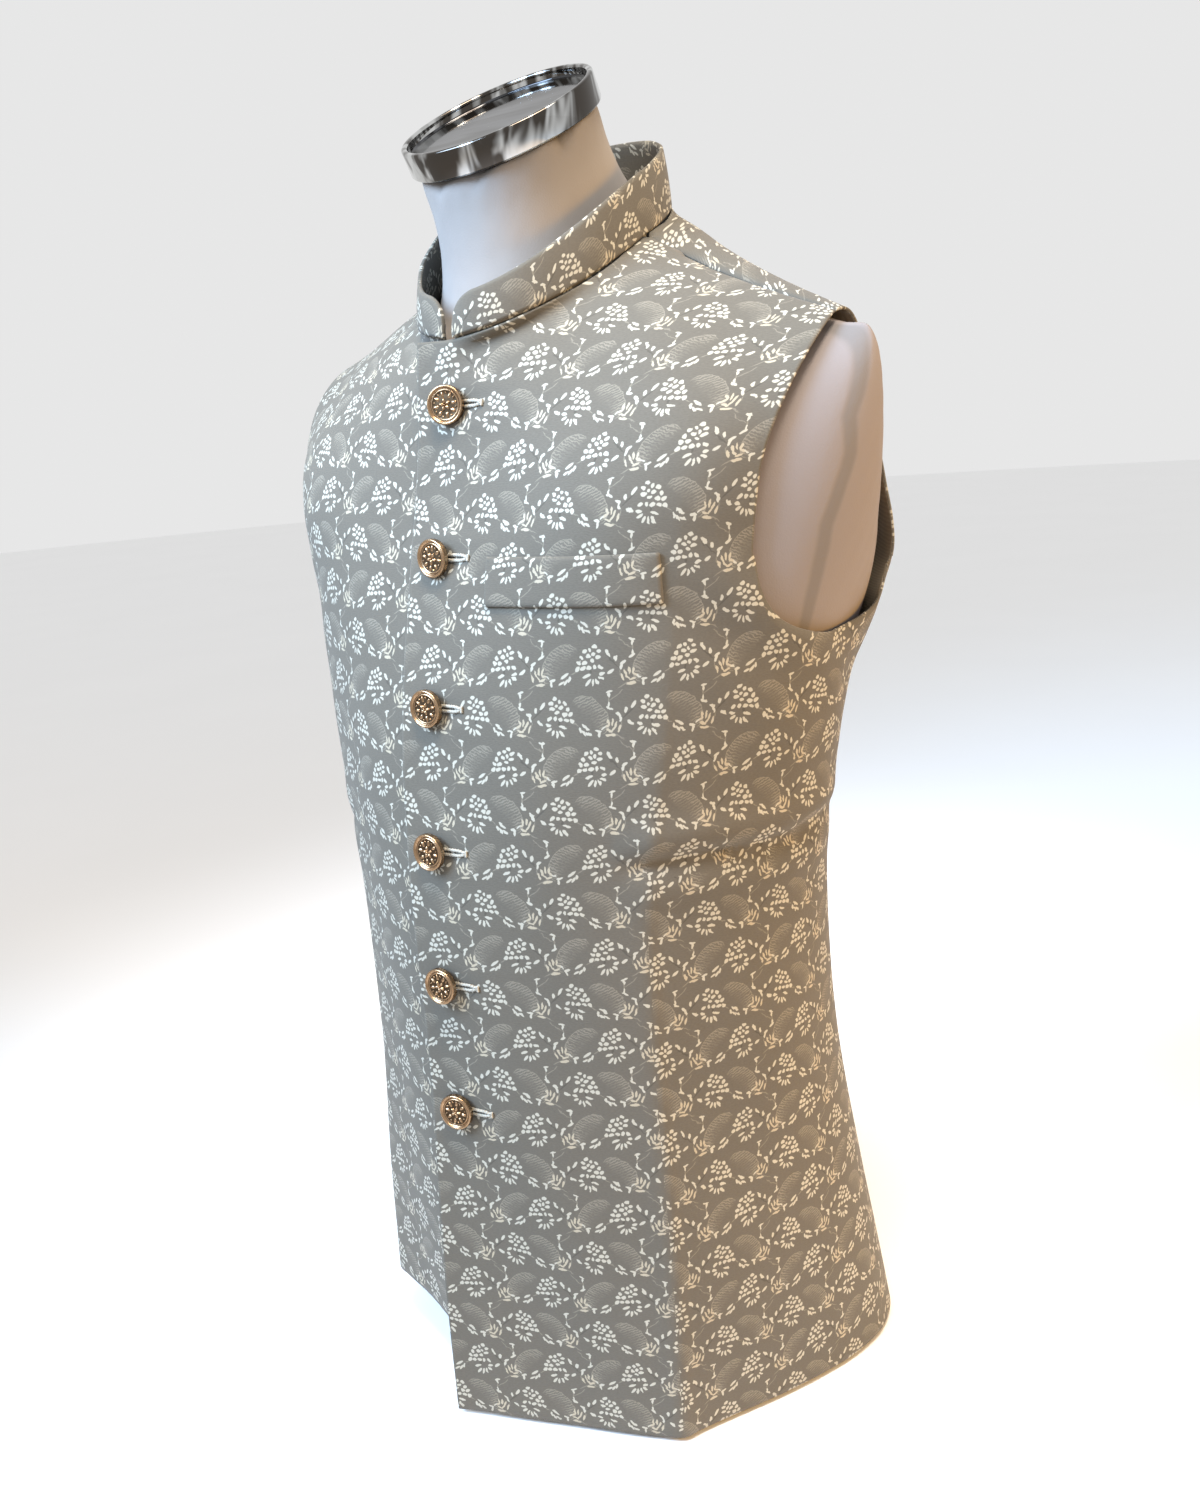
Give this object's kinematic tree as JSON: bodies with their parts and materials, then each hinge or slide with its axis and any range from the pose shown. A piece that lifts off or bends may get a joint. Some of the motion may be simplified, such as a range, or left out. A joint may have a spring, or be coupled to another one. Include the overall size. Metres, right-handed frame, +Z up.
{
  "type": "nehru jacket on dress form",
  "caption": "Sleeveless stand-collar jacket in floral jacquard, buttoned on a limbless dress form with a chrome neck cap.",
  "frame": {"origin": "On the floor under the middle of the form and jacket, at the centre of the bounding box's lower face.", "axes": "+Z up along the body; the front with its buttons faces -Y; the wearer's left, with the chest pocket, is +X."},
  "size_m": [0.463, 0.3064, 0.8932],
  "materials": {
    "jacquard": "matt woven jacquard with a faint sheen on the raised flowers",
    "button_metal": "antique gold plating, polished rim and darker sunk face",
    "form_cover": "tight off-white cover cloth, matt",
    "cap_chrome": "mirror polished"
  },
  "bodies": {
    "root": {"front_left": "jacquard", "front_right": "jacquard", "back": "jacquard", "collar": "jacquard", "pocket_welt": "jacquard", "button_1": "button_metal", "button_2": "button_metal", "button_3": "button_metal", "button_4": "button_metal", "button_5": "button_metal", "button_6": "button_metal", "dress_form": "form_cover", "neck_cap": "cap_chrome"}
  },
  "joints": []
}
